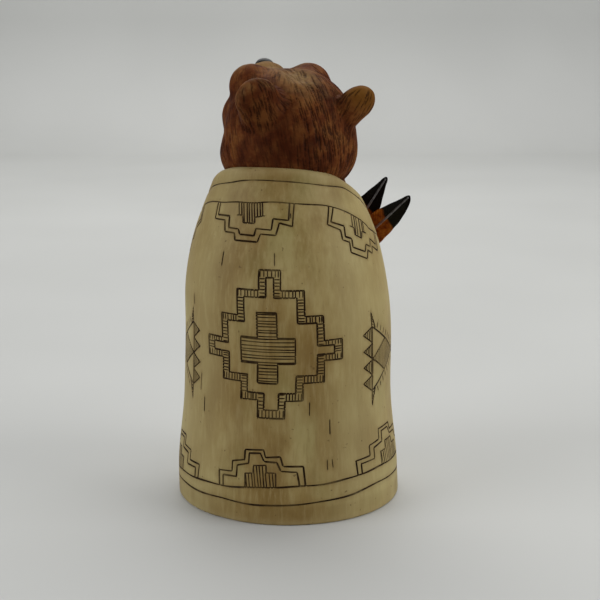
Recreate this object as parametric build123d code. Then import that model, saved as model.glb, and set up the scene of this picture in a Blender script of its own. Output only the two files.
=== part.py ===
"""A cast and painted figurine: a brown bear wrapped in a carved cream blanket, looking up and to its left,
with two black-tipped feathers in its right paw.

Millimetres, +Z up. The origin is the centre of the base on the surface it stands on, and the bear's body faces -Y,
so its left hand is on the +X side. The blanket, the torso, the head and every small fitting is a piece of its own:
they are cast or cut apart, painted, pegged and glued together.
"""

from build123d import *
import math
import os

# Blanket and torso: oval cross-sections, as (height, half width in X, sideways shift in X).
BODY_STATIONS = [
    (0.0, 28.4, 0.0),
    (7.0, 28.3, 0.1),
    (13.5, 27.7, 0.15),
    (21.0, 26.8, 0.2),
    (32.0, 26.2, 0.1),
    (46.0, 25.9, 0.1),
    (55.0, 25.3, 0.5),
    (63.0, 23.8, 0.7),
    (70.0, 21.7, 0.8),
    (76.0, 19.2, 1.0),
    (81.0, 17.2, 1.1),
    (85.0, 16.4, 1.0),
]
DEPTH_SHARE = 0.96  # half depth in Y over half width in X
BLANKET_WALL = 2.4
TORSO_TOP = 81.5
FLAP_LIFT = 1.3  # how far the overlapping front edge stands proud
# The open throat and the edge of the overlapping flap, as (x, z) in the front view.
NECKLINE = [(-12.5, 92.0), (14.0, 92.0), (8.5, 58.0), (1.0, 46.5), (-9.0, 45.5), (-13.5, 52.0)]
FLAP_EDGE = [(14.0, 92.0), (1.0, 46.5), (-4.0, 34.0), (-9.0, 15.0), (-11.5, -1.0), (40.0, -1.0), (40.0, 92.0)]
HEM_ARCH = (17.5, 8.5)  # half width and height of the arch over the feet
FELT_THICKNESS = 1.0

# Head: its own frame has +X along the muzzle, +Y to the bear's left and +Z out of the crown.
HEAD_CENTRE = (-0.8, 0.5, 93.5)
HEAD_TURN = 34.0  # degrees to the bear's left
HEAD_TILT = 38.0  # degrees up
CRANIUM = (15.0, 16.2, 13.4)
RUFF_CENTRE = (-0.1, 0.2, 87.9)  # in the figurine's frame: the thick neck doesn't tilt
RUFF = (16.7, 14.3, 9.5)
BROW_CENTRE = (10.2, 8.1, 3.9)
BROW_RADIUS = 5.7
CHEEK_CENTRE = (8.0, 8.0, -4.2)
CHEEK_RADIUS = 6.9
MUZZLE_LENGTH = 9.0
MUZZLE_START = 8.0
MUZZLE_RADII = (7.6, 4.9)
CHIN_CENTRE = (15.2, 0.0, -4.3)
CHIN = (5.2, 4.2, 3.2)
NOSE_CENTRE = (20.7, 0.0, 1.2)
NOSE = (2.3, 3.3, 2.2)
EYE_CENTRE = (15.0, 6.3, 2.6)
EYE_RADIUS = 1.6
LEFT_EAR_CENTRE = (-2.1, 12.9, 10.8)  # the left ear is set a little further forward
RIGHT_EAR_CENTRE = (-4.9, 11.4, 10.3)
EAR = (3.3, 5.0, 6.0)
EAR_SPLAY = 28.0  # degrees outwards from the crown's direction
PEG_RADIUS = 2.5
PEG_SPAN = (72.5, 90.5)
PEG_CLEARANCE = 0.05

# Forepaws: each is a rounded palm on a stub of forearm, with toes and claws. They come out of the open throat and
# rest over the blanket's front edge.
RIGHT_PAW = (-6.2, -26.0, 53.0)
RIGHT_ELBOW = (-10.0, -14.0, 61.0)
LEFT_PAW = (3.6, -26.6, 46.6)
LEFT_ELBOW = (6.5, -14.5, 60.0)
PALM = (10.0, 9.4, 8.0)  # along the toes, across them, and thickness
PALM_ROUND = 3.7
FOREARM_RADIUS = 4.3
TOE_RADIUS = 1.7
TOE_COUNT = 4
TOE_PITCH = 2.5
CLAW_RADIUS = 0.75
CLAW_LENGTH = 2.6

# Hind feet under the hem.
FOOT_CENTRE = (9.6, -23.6, 3.0)
FOOT = (17.0, 12.4, 8.4)
FOOT_TOE_RADIUS = 2.2
FOOT_TOE_PITCH = 3.0

# Feathers: both shafts fan out of the right paw. Each is a tip point; the root is inside the paw.
FAN_ROOT = (-5.6, -28.0, 49.8)
UPPER_TIP = (-22.7, -24.4, 77.8)
LOWER_TIP = (-29.2, -23.2, 73.3)
FAN_DEPTH_STEP = 0.62  # the upper feather lies this far in front of the fan's middle plane, the lower behind
VANE_THICKNESS = 1.0
VANE_OUTLINE = [(0.27, 0.9), (0.38, 2.4), (0.55, 3.4), (0.74, 3.3), (0.88, 1.9), (0.985, 0.35)]
QUILL_RADII = (0.62, 0.36)


def save(shape, name):
    """Writes one node and says how many solids it has."""
    solids = shape.solids()
    export_step(Compound(children=list(solids)) if len(solids) > 1 else solids[0], f"parts/{name}.step")
    print(name, len(solids), round(sum(s.volume for s in solids), 1))


def ellipsoid(radii, frame=Plane.XY):
    """A closed ellipsoid about a frame's origin."""
    return frame * scale(Sphere(1.0), by=radii)


def body_loft(inset=0.0, shift=(0.0, 0.0)):
    """The body's outer form, drawn in by inset and moved sideways by shift."""
    sections = []
    for height, half_width, shift_x in BODY_STATIONS:
        place = Plane(origin=(shift_x + shift[0], shift[1], height))
        sections.append(place * Ellipse(half_width - inset, half_width * DEPTH_SHARE - inset))
    return loft(sections)


def front_prism(points):
    """A prism through the front half of the body, from its outline in the XZ plane."""
    face = Plane.XZ * make_face(Polyline(*points, close=True))
    return extrude(face, amount=50.0)


def head_frame():
    """The head's own frame: +X along the muzzle, +Z out of the crown."""
    turn, tilt = math.radians(HEAD_TURN), math.radians(HEAD_TILT)
    ahead = Vector(math.cos(tilt) * math.sin(turn), -math.cos(tilt) * math.cos(turn), math.sin(tilt))
    crown = Vector(-math.sin(tilt) * math.sin(turn), math.sin(tilt) * math.cos(turn), math.cos(tilt))
    return Plane(origin=HEAD_CENTRE, x_dir=ahead, z_dir=crown)


def in_head(point, side=1):
    """A place in the head's frame, on the bear's left for side 1 and its right for side -1."""
    x, y, z = point
    return head_frame() * Pos(x, y * side, z)


def make_torso_core():
    return body_loft(BLANKET_WALL)


def make_blanket(core):
    """The shell round the torso: overlapping front edge, open throat and an arch over the feet."""
    outer = body_loft()
    arch = extrude(Plane.XZ * Ellipse(*HEM_ARCH), amount=50.0)
    flap = body_loft(shift=(-FLAP_LIFT * 0.5, -FLAP_LIFT)) & front_prism(FLAP_EDGE)
    return (outer - arch) + (flap - arch) - core - front_prism(NECKLINE)


def make_head_casting():
    """Cranium, ruff, brows, cheeks and muzzle as one solid, before its sockets are cut."""
    muzzle_frame = head_frame() * Pos(MUZZLE_START + MUZZLE_LENGTH / 2, 0, -0.6) * Rot(0, 90, 0)
    muzzle = muzzle_frame * Cone(MUZZLE_RADII[0], MUZZLE_RADII[1], MUZZLE_LENGTH)
    head = ellipsoid(CRANIUM, head_frame()) + ellipsoid(RUFF, Plane(origin=RUFF_CENTRE)) + muzzle
    head += in_head((MUZZLE_START + MUZZLE_LENGTH, 0, -0.6)) * Sphere(MUZZLE_RADII[1])
    head += in_head(CHIN_CENTRE) * scale(Sphere(1.0), by=CHIN)
    for side in (1, -1):
        head += in_head(BROW_CENTRE, side) * Sphere(BROW_RADIUS)
        head += in_head(CHEEK_CENTRE, side) * Sphere(CHEEK_RADIUS)
    return head


def make_ear(side):
    centre = LEFT_EAR_CENTRE if side > 0 else RIGHT_EAR_CENTRE
    place = in_head(centre, side) * Rot(-EAR_SPLAY * side, 0, 0)
    return place * scale(Sphere(1.0), by=EAR)


def make_peg(radius, span):
    low, high = span
    return Pos(HEAD_CENTRE[0], HEAD_CENTRE[1], (low + high) / 2) * Cylinder(radius, high - low)


def claw(place):
    """One claw: a blunt cone along the place's +X."""
    return place * Rot(0, 90, 0) * Pos(0, 0, CLAW_LENGTH / 2) * Cone(CLAW_RADIUS, CLAW_RADIUS * 0.3, CLAW_LENGTH)


def rounded_block(sizes):
    """A block with every edge rounded as far as its thickness allows."""
    block = Box(*sizes)
    return fillet(block.edges(), PALM_ROUND)


def toe_places(frame, reach, pitch, drop):
    """Where the toes stand: a row across the frame's Y, pushed out along its X, the outer ones set back."""
    places = []
    for i in range(TOE_COUNT):
        across = (i - (TOE_COUNT - 1) / 2) * pitch
        places.append(frame * Pos(reach - 0.09 * across * across, across, drop))
    return places


def make_paw(centre, elbow):
    """A forepaw and its claws, reaching from the elbow side with its back turned outwards."""
    centre, elbow = Vector(*centre), Vector(*elbow)
    reach = centre - elbow
    frame = Plane(origin=centre, x_dir=(reach.X, 0, reach.Z), z_dir=(0, -1, 0))
    arm = Plane(origin=(centre + elbow) * 0.5, z_dir=reach)
    body = frame * rounded_block(PALM) + arm * Cylinder(FOREARM_RADIUS, reach.length)
    toes = toe_places(frame, PALM[0] / 2 - 0.6, TOE_PITCH, 1.4)
    for place in toes:
        body += place * Sphere(TOE_RADIUS)
    claws = [claw(place * Pos(TOE_RADIUS * 0.6, 0, 0.3) * Rot(0, 15, 0)) for place in toes]
    return body, claws


def make_foot(side):
    """A hind foot, flat underneath, and its claws."""
    x, y, z = FOOT_CENTRE
    frame = Plane(origin=(x * side, y, z), x_dir=(0.12 * side, -1, 0), z_dir=(0, 0, 1))
    body = frame * rounded_block(FOOT)
    toes = toe_places(frame, FOOT[0] / 2 - 1.0, FOOT_TOE_PITCH, -0.4)
    for place in toes:
        body += place * Sphere(FOOT_TOE_RADIUS)
    body -= Pos(0, 0, -10) * Box(200, 200, 20)
    claws = [claw(place * Pos(FOOT_TOE_RADIUS * 0.75, 0, 0.2)) for place in toes]
    return body, claws


def fan_plane(tip, step):
    """A plane with its origin at the root, +X up the shaft and +Z out of the feather's face."""
    root = Vector(*FAN_ROOT)
    along = (Vector(*tip) - root).normalized()
    face = along.cross((Vector(*UPPER_TIP) - Vector(*LOWER_TIP))).normalized()
    if face.Y > 0:
        face = face * -1
    return Plane(origin=root + face * step, x_dir=along, z_dir=face), (Vector(*tip) - root).length


def make_feather(tip, step):
    """One feather: its flat pointed vane, and the round quill that runs up its middle."""
    plane, length = fan_plane(tip, step)
    edge = [(share * length, half) for share, half in VANE_OUTLINE]
    outline = edge + [(x, -y) for x, y in reversed(edge)]
    vane = extrude(plane * make_face(Polyline(*outline, close=True)), amount=VANE_THICKNESS / 2, both=True)
    quill = plane * Pos(length * 0.48, 0, 0) * Rot(0, 90, 0) * Cone(QUILL_RADII[0], QUILL_RADII[1], length * 0.96)
    return vane - quill, quill


def main():
    os.makedirs("parts", exist_ok=True)
    core = make_torso_core()
    blanket = make_blanket(core)
    peg_hole = make_peg(PEG_RADIUS + PEG_CLEARANCE, (PEG_SPAN[0] - 0.5, PEG_SPAN[1] + 0.5))
    below_torso_top = Pos(0, 0, TORSO_TOP - 100) * Box(200, 200, 200)

    ears = {side: make_ear(side) for side in (1, -1)}
    eyes = {side: in_head(EYE_CENTRE, side) * Sphere(EYE_RADIUS) for side in (1, -1)}
    nose = in_head(NOSE_CENTRE) * scale(Sphere(1.0), by=NOSE)
    casting = make_head_casting()
    head = casting - below_torso_top - body_loft() - nose - eyes[1] - eyes[-1]
    neck = core & (Pos(0, 0, TORSO_TOP + 2) * Box(80, 80, 4))
    head = head + neck - peg_hole

    feathers = {"upper": make_feather(UPPER_TIP, FAN_DEPTH_STEP), "lower": make_feather(LOWER_TIP, -FAN_DEPTH_STEP)}
    right_paw, right_claws = make_paw(RIGHT_PAW, RIGHT_ELBOW)
    left_paw, left_claws = make_paw(LEFT_PAW, LEFT_ELBOW)
    feet = {side: make_foot(side) for side in (1, -1)}

    torso = (core & below_torso_top) - Pos(0, 0, FELT_THICKNESS / 2) * Box(80, 80, FELT_THICKNESS) - peg_hole
    felt = core & (Pos(0, 0, FELT_THICKNESS / 2) * Box(80, 80, FELT_THICKNESS))

    save(blanket, "blanket")
    save(torso, "torso")
    save(head, "head")
    save(make_peg(PEG_RADIUS, PEG_SPAN), "neck_peg")
    save(nose, "nose")
    for side, name in ((1, "left"), (-1, "right")):
        save(eyes[side], f"{name}_eye")
        save(ears[side] - casting, f"{name}_ear")
        foot, claws = feet[side]
        foot = foot - core - blanket
        save(foot - claws, f"{name}_foot")
        save(Compound(children=claws), f"{name}_foot_claws")
    fan = [piece for feather in feathers.values() for piece in feather]
    right_paw = right_paw - core - blanket - right_claws - left_claws - fan
    left_paw = left_paw - core - blanket - left_claws - right_claws - right_paw
    for name, paw, claws in (("right", right_paw, right_claws), ("left", left_paw, left_claws)):
        save(paw, f"{name}_paw")
        save(Compound(children=claws), f"{name}_paw_claws")
    for name, (vane, quill) in feathers.items():
        save(vane, f"{name}_feather")
        save(quill, f"{name}_quill")
    save(felt, "felt_pad")


main()
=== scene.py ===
"""Looks of the carved bear figurine: an incised blanket, a furry head, paws and painted feathers round the CAD frame.

The shapes are worked out in millimetres and turned into metres where a mesh is made. +Z is up, the bear's body
faces -Y and its left side is +X. Round the body a place is given by its angle from the middle of the back, positive
towards the bear's right, and its height.
"""

import bpy
import math
import random
import numpy as np
from functools import cache
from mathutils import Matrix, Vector, noise
from mathutils.bvhtree import BVHTree
from mathutils.geometry import delaunay_2d_cdt
from mathutils.kdtree import KDTree


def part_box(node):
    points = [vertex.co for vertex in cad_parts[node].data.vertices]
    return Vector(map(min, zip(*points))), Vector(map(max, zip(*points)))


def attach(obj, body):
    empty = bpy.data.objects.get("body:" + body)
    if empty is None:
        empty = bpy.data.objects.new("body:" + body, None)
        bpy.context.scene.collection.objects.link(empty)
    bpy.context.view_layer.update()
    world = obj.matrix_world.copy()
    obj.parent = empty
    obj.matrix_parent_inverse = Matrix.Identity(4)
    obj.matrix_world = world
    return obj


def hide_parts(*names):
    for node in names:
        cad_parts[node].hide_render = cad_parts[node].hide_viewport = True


MM = 0.001
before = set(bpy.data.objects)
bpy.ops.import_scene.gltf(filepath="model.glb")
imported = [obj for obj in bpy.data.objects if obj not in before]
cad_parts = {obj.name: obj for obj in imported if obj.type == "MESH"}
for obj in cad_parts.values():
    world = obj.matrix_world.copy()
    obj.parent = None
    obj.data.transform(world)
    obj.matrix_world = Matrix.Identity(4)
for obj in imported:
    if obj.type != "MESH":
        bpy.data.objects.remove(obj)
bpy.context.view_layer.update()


# ---------------------------------------------------------------- camera, floor and light

CAMERA_AZIMUTH = 188.0  # degrees; the back of the figurine, turned a little
CAMERA_DISTANCE = 320.0
CAMERA_HEIGHT = 122.0
CAMERA_PITCH = -12.76
CAMERA_PAN = -0.53
CAMERA_LENS, CAMERA_SENSOR = 78.0, 36.0
# The sweep's floor and bend away from the camera's axis, its wall's top and its half width.
FLOOR_NEAR, FLOOR_FAR, BEND_RADIUS, WALL_TOP, SWEEP_REACH = -900.0, 760.0, 110.0, 1400.0, 1100.0
BEND_STEPS = 16
# Each lamp's name, place, aim, size, power in watts and colour, placed as the camera sees them.
LAMPS = [("overhead", (30, 455, 620), (0, 400, 0), (1000, 640), 4.4, (1.0, 0.995, 0.98)),
         ("left", (-460, -200, 260), (0, 0, 55), (320, 380), 1.25, (0.985, 0.99, 1.0)),
         ("right", (460, -160, 260), (0, 0, 55), (320, 380), 1.3, (1.0, 0.99, 0.97))]
SKY_COLOUR, SKY_STRENGTH = (0.96, 0.98, 1.0, 1.0), 0.24


def place_object(name, data):
    made = bpy.data.objects.new(name, data)
    bpy.context.scene.collection.objects.link(made)
    return made


def make_camera():
    data = bpy.data.cameras.new("camera")
    data.lens, data.sensor_width, data.clip_start = CAMERA_LENS, CAMERA_SENSOR, 0.01
    camera = place_object("camera", data)
    turn = math.radians(CAMERA_AZIMUTH)
    reach = CAMERA_DISTANCE * MM
    camera.location = (math.sin(turn) * reach, -math.cos(turn) * reach, CAMERA_HEIGHT * MM)
    camera.rotation_euler = (math.radians(90 + CAMERA_PITCH), 0.0, math.radians(CAMERA_AZIMUTH + CAMERA_PAN))
    bpy.context.scene.camera = camera


def from_camera(right, away, up):
    """A place in metres, from millimetres to the right of the picture's axis, away from the camera and up."""
    turn = math.radians(CAMERA_AZIMUTH)
    x = right * math.cos(turn) - away * math.sin(turn)
    y = right * math.sin(turn) + away * math.cos(turn)
    return Vector((x, y, up)) * MM


def make_light(name, place, aim, size, power, colour):
    data = bpy.data.lights.new(name, "AREA")
    data.shape, data.energy, data.color = "RECTANGLE", power, colour
    data.size, data.size_y = (side * MM for side in size)
    lamp = place_object(name, data)
    lamp.location = from_camera(*place)
    lamp.rotation_euler = (from_camera(*aim) - lamp.location).to_track_quat("-Z", "Y").to_euler()


def make_stage():
    """A pale floor that sweeps up into a backdrop far behind the object, as the camera sees it."""
    profile = [(FLOOR_NEAR, 0.0), (FLOOR_FAR, 0.0)]
    for step in range(1, BEND_STEPS + 1):
        turn = math.radians(90 * step / BEND_STEPS)
        profile.append((FLOOR_FAR + BEND_RADIUS * math.sin(turn), BEND_RADIUS - BEND_RADIUS * math.cos(turn)))
    profile.append((FLOOR_FAR + BEND_RADIUS, WALL_TOP))
    verts = [from_camera(side * SWEEP_REACH, away, up) for away, up in profile for side in (-1, 1)]
    faces = [(i, i + 1, i + 3, i + 2) for i in range(0, len(verts) - 2, 2)]
    mesh = bpy.data.meshes.new("sweep")
    mesh.from_pydata(verts, [], faces)
    mesh.polygons.foreach_set("use_smooth", [True] * len(faces))
    mesh.materials.append(plain_material("backdrop_paper"))
    sweep = place_object("sweep", mesh)


def light_scene():
    world = bpy.data.worlds.new("world")
    bpy.context.scene.world = world
    world.use_nodes = True
    inputs = world.node_tree.nodes["Background"].inputs
    inputs["Color"].default_value = SKY_COLOUR
    inputs["Strength"].default_value = SKY_STRENGTH
    for lamp in LAMPS:
        make_light(*lamp)


# ---------------------------------------------------------------- materials


class Shader:
    """A material's nodes, built by short calls. Texture places are in metres, in the frame's own axes."""

    def __init__(self, name, **values):
        self.material = bpy.data.materials.new(name)
        self.material.use_nodes = True
        self.tree = self.material.node_tree
        self.surface = self.tree.nodes["Principled BSDF"]
        self.place = self.tree.nodes.new("ShaderNodeTexCoord").outputs["Object"]
        self.set(**values)

    def set(self, **values):
        for name, value in values.items():
            self.feed(self.surface.inputs[name.replace("_", " ")], value)

    def feed(self, socket, value):
        if isinstance(value, bpy.types.NodeSocket):
            self.tree.links.new(value, socket)
        elif isinstance(value, tuple) and len(value) == 3 and socket.type == "RGBA":
            socket.default_value = (*value, 1.0)
        else:
            socket.default_value = value

    def node(self, kind, output, values=(), **settings):
        made = self.tree.nodes.new("ShaderNode" + kind)
        for name, value in settings.items():
            setattr(made, name, value)
        for key, value in dict(values).items():
            self.feed(made.inputs[key], value)
        return made.outputs[output]

    def noise(self, size, detail=3.0, roughness=0.55, stretch=(1.0, 1.0, 1.0)):
        """Noise whose features are about size millimetres across."""
        scale = tuple(s / (size * MM) for s in stretch)
        place = self.node("Mapping", "Vector", {"Vector": self.place, "Scale": scale})
        values = {"Vector": place, "Scale": 1.0, "Detail": detail, "Roughness": roughness}
        return self.node("TexNoise", "Fac", values)

    def attribute(self, name, share=None):
        """What a mesh was painted with, or a share of it."""
        painted = self.node("Attribute", "Fac", attribute_name=name)
        return painted if share is None else self.node("Math", 0, {0: painted, 1: share}, operation="MULTIPLY")

    def ramp(self, factor, *stops):
        """stops are (position, value or colour)."""
        made = self.tree.nodes.new("ShaderNodeValToRGB")
        ramp = made.color_ramp
        while len(ramp.elements) < len(stops):
            ramp.elements.new(0.5)
        for element, (position, value) in zip(ramp.elements, stops):
            element.position = position
            element.color = (*value, 1.0) if isinstance(value, tuple) else (value, value, value, 1.0)
        self.feed(made.inputs["Fac"], factor)
        return made.outputs["Color"]

    def mix(self, factor, first, second):
        """Two colours mixed. The numbers are the node's sockets for colours."""
        return self.node("Mix", 2, {0: factor, 6: first, 7: second}, data_type="RGBA")

    def bump(self, height, depth, strength):
        """depth is in millimetres."""
        values = {"Height": height, "Distance": depth * MM, "Strength": strength}
        self.set(Normal=self.node("Bump", "Normal", values))


# Looks with one noise behind them: the noise, the colours at its stops, the roughness or its stops, the bump's depth
# and strength, and how much the surface reflects.
PLAIN = {
    "backdrop_paper": ((160.0, 2.0), ((0.3, (0.53, 0.535, 0.52)), (0.7, (0.57, 0.575, 0.56))), 0.55, None, 0.3),
    "nose_gloss": ((0.5, 3.0), ((0.3, (0.007, 0.006, 0.006)), (0.7, (0.016, 0.014, 0.012))), ((0.3, 0.3), (0.7, 0.42)),
                   (0.05, 0.5), 0.2),
    "claw_horn_paint": ((0.6, 3.0, 0.6), ((0.3, (0.016, 0.012, 0.010)), (0.62, (0.05, 0.036, 0.026)),
                                          (0.8, (0.12, 0.09, 0.06))), ((0.3, 0.25), (0.7, 0.45)), (0.05, 0.4), 0.5),
    "peg_beech": ((0.9, 4.0, 0.6, (1.0, 1.0, 0.08)), ((0.3, (0.36, 0.20, 0.09)), (0.7, (0.52, 0.34, 0.18))), 0.6,
                  (0.06, 0.5), 0.5)}


@cache
def plain_material(name):
    grain, colours, roughness, relief, shine = PLAIN[name]
    s = Shader(name, Specular_IOR_Level=shine)
    grain = s.noise(*grain)
    s.set(Base_Color=s.ramp(grain, *colours))
    s.set(Roughness=s.ramp(grain, *roughness) if isinstance(roughness, tuple) else roughness)
    if relief:
        s.bump(grain, *relief)
    return s.material


def blanket_material():
    """Antiqued cream: long vertical streaks, soft blotches, dark ink in the cuts, wear where it is handled, flanks
    painted paler, partly as paint tone and partly as painted side light, and painted shade over the middle of the
    back.
    """
    s = Shader("blanket_resin")
    streaks = s.noise(5.5, 4.0, 0.55, (1.0, 1.0, 0.16))
    fine = s.noise(0.9, 4.0, 0.62, (1.0, 1.0, 0.14))
    blotches = s.noise(13.0, 4.0, 0.55, (1.0, 1.0, 0.6))
    olive = s.noise(12.0, 2.0, 0.5, (1.0, 1.0, 0.5))
    dull, cream, light = (0.235, 0.150, 0.044), (0.315, 0.226, 0.083), (0.430, 0.345, 0.150)
    base = s.ramp(blotches, (0.36, dull), (0.5, cream), (0.64, light))
    base = s.mix(s.ramp(streaks, (0.42, 0.0), (0.68, 0.5)), base, (0.215, 0.132, 0.038))
    base = s.mix(s.ramp(olive, (0.52, 0.0), (0.7, 0.45)), base, (0.235, 0.205, 0.065))
    base = s.mix(s.ramp(fine, (0.50, 0.0), (0.70, 0.34)), base, (0.47, 0.385, 0.185))
    base = s.mix(s.ramp(fine, (0.30, 0.34), (0.46, 0.0)), base, (0.185, 0.115, 0.035))
    # Paler flanks: partly paler paint and partly painted light where the side lamps fall.
    base = s.mix(s.attribute("pale", 0.55), base, (0.43, 0.360, 0.168))
    # Stains beside the cuts and smudges, with painted shade over the middle of the back.
    base = s.mix(s.attribute("stain", 0.5), base, (0.17, 0.10, 0.03))
    base = s.mix(s.attribute("worn", 0.4), base, (0.48, 0.38, 0.19))
    specks = s.ramp(s.noise(1.1, 1.5, 0.5), (0.72, 0.0), (0.78, 0.6))
    base = s.mix(specks, base, (0.10, 0.055, 0.02))
    ink = s.ramp(s.noise(1.6, 2.0), (0.35, (0.016, 0.007, 0.0015)), (0.7, (0.045, 0.022, 0.006)))
    faded = s.ramp(s.noise(5.0, 3.0, 0.6), (0.36, 0.62), (0.56, 1.0))
    s.set(Base_Color=s.mix(s.attribute("ink", faded), base, ink))
    s.set(Roughness=s.ramp(fine, (0.3, 0.46), (0.7, 0.60)), Specular_IOR_Level=0.14)
    s.bump(s.mix(0.35, streaks, s.noise(0.5, 4.0, 0.6, (1.0, 1.0, 0.25))), 0.14, 0.75)
    return s.material


@cache
def fur_material():
    """Red-brown paint with a dark wash in the strokes and tan brushed over the high places. On the chest, paws and
    feet the tan also holds painted light on faces that look up, and the dark painted shade on faces that look down.
    """
    s = Shader("fur_resin_paint")
    mottle = s.noise(5.0, 4.0, 0.6)
    fine = s.noise(0.7, 3.0, 0.6)
    dark, middle, light = (0.048, 0.0100, 0.0025), (0.105, 0.028, 0.0070), (0.180, 0.064, 0.016)
    base = s.ramp(mottle, (0.36, dark), (0.5, middle), (0.64, light))
    # tan: brushed tan paint, and on the chest, paws and feet also painted light on upward faces.
    base = s.mix(s.attribute("tan", s.ramp(fine, (0.3, 0.4), (0.65, 1.0))), base, (0.245, 0.148, 0.056))
    base = s.mix(s.attribute("amber"), base, (0.150, 0.062, 0.0085))
    base = s.mix(s.attribute("raised", s.ramp(fine, (0.44, 0.0), (0.66, 0.5))), base, (0.21, 0.098, 0.030))
    # dark: darker paint, and on the chest, paws and feet also painted shade on downward faces.
    base = s.mix(s.attribute("dark", 0.75), base, (0.036, 0.0065, 0.0018))
    base = s.mix(s.attribute("groove", 0.78), base, (0.016, 0.0040, 0.0012))
    s.set(Base_Color=base, Specular_IOR_Level=0.035)
    s.set(Roughness=s.ramp(fine, (0.3, 0.5), (0.7, 0.68)))
    s.bump(s.mix(0.5, fine, s.noise(0.32, 3.0)), 0.05, 0.6)
    return s.material


@cache
def eye_material():
    s = Shader("eye_gloss")
    fibres = s.noise(0.35, 2.0)
    iris = s.ramp(fibres, (0.35, (0.05, 0.018, 0.005)), (0.65, (0.11, 0.045, 0.012)))
    base = s.mix(s.attribute("iris"), (0.006, 0.005, 0.004), iris)
    s.set(Base_Color=s.mix(s.attribute("pupil"), base, (0.004, 0.004, 0.004)))
    s.set(Roughness=s.ramp(fibres, (0.0, 0.06), (1.0, 0.10)), Coat_Weight=0.6)
    return s.material


@cache
def feather_material():
    """Gloss paint: black tip, orange-brown below it, darker towards the root and between the barbs."""
    s = Shader("feather_paint")
    mottle = s.noise(1.8, 4.0, 0.65)
    rust, amber, bright = (0.21, 0.036, 0.003), (0.43, 0.105, 0.010), (0.66, 0.24, 0.030)
    orange = s.ramp(mottle, (0.35, rust), (0.52, amber), (0.7, bright))
    orange = s.mix(s.attribute("barb", 0.55), orange, (0.055, 0.010, 0.002))
    orange = s.mix(s.attribute("root", 0.5), orange, (0.07, 0.014, 0.003))
    black = s.ramp(mottle, (0.3, (0.003, 0.0032, 0.003)), (0.7, (0.007, 0.0075, 0.007)))
    s.set(Base_Color=s.mix(s.attribute("black"), orange, black))
    s.set(Roughness=s.ramp(mottle, (0.3, 0.16), (0.7, 0.30)), Specular_IOR_Level=0.12)
    s.set(Coat_Weight=0.05, Coat_Roughness=0.12)
    s.bump(mottle, 0.04, 0.4)
    return s.material


@cache
def quill_material():
    s = Shader("quill_paint")
    wear = s.noise(0.8, 3.0, 0.6)
    dark, grey, light = (0.055, 0.053, 0.053), (0.135, 0.13, 0.13), (0.25, 0.24, 0.24)
    grey = s.ramp(wear, (0.35, dark), (0.55, grey), (0.75, light))
    s.set(Base_Color=s.mix(s.attribute("black"), s.mix(0.35, (0.22, 0.06, 0.012), grey), grey))
    s.set(Roughness=s.ramp(wear, (0.3, 0.3), (0.7, 0.5)))
    s.bump(wear, 0.04, 0.5)
    return s.material


def felt_material():
    s = Shader("base_felt")
    fibre = s.noise(0.35, 5.0, 0.7)
    cloud = s.noise(5.0, 2.0)
    green = s.ramp(cloud, (0.35, (0.020, 0.045, 0.028)), (0.65, (0.030, 0.062, 0.040)))
    s.set(Base_Color=s.mix(s.ramp(fibre, (0.4, 0.0), (0.75, 0.5)), green, (0.06, 0.10, 0.07)))
    s.set(Roughness=0.95, Sheen_Weight=0.3)
    s.bump(fibre, 0.12, 0.8)
    return s.material


# ---------------------------------------------------------------- meshes and pieces


def mesh_from(name, verts, faces):
    """A mesh from vertices in millimetres and faces of one size."""
    verts = np.asarray(verts, np.float32) * MM
    faces = np.asarray(faces, np.int32)
    mesh = bpy.data.meshes.new(name)
    mesh.vertices.add(len(verts))
    mesh.vertices.foreach_set("co", verts.ravel())
    size = faces.shape[1]
    mesh.loops.add(faces.size)
    mesh.loops.foreach_set("vertex_index", faces.ravel())
    mesh.polygons.add(len(faces))
    mesh.polygons.foreach_set("loop_start", np.arange(0, faces.size, size, dtype=np.int32))
    mesh.update(calc_edges=True)
    mesh.validate()
    return mesh


def paint(mesh, name, values):
    """Keeps a number per vertex, or per corner, for the material to read."""
    domain = "POINT" if len(values) == len(mesh.vertices) else "CORNER"
    layer = mesh.attributes.new(name, "FLOAT_COLOR", domain)
    values = np.clip(np.asarray(values, np.float32), 0, 1)
    layer.data.foreach_set("color", np.repeat(values[:, None], 4, 1).ravel())


def add_piece(name, slot, nodes, material, verts, faces, sharp=None, **tones):
    """Puts a piece in the scene that stands for the CAD nodes, painted with the given tones."""
    mesh = mesh_from(name, verts, faces)
    for tone, values in tones.items():
        paint(mesh, tone, values)
    mesh.polygons.foreach_set("use_smooth", [True] * len(mesh.polygons))
    if sharp is not None:
        mesh.set_sharp_from_angle(angle=math.radians(sharp))
    mesh.materials.append(material)
    piece = place_object(name, mesh)
    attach(piece, "root")
    if nodes:
        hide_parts(*nodes)


def dress(node, material):
    """Paints a CAD node that is shown as it is."""
    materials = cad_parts[node].data.materials
    materials.clear()
    materials.append(material)


def smooth_curve(xs, ys):
    """A function that runs smoothly through the points and holds its end values."""
    xs, ys = np.array(xs, float), np.array(ys, float)
    slopes = np.gradient(ys, xs)

    def at(x):
        x = np.clip(x, xs[0], xs[-1])
        i = np.clip(np.searchsorted(xs, x) - 1, 0, len(xs) - 2)
        h = xs[i + 1] - xs[i]
        t = (x - xs[i]) / h
        rise = (1 + 2 * t) * (1 - t) ** 2 * ys[i] + t * t * (3 - 2 * t) * ys[i + 1]
        return rise + h * (t * (1 - t) ** 2 * slopes[i] + t * t * (t - 1) * slopes[i + 1])

    return at


def smooth_step(low, high, x):
    t = np.clip((x - low) / (high - low), 0, 1)
    return t * t * (3 - 2 * t)


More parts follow.
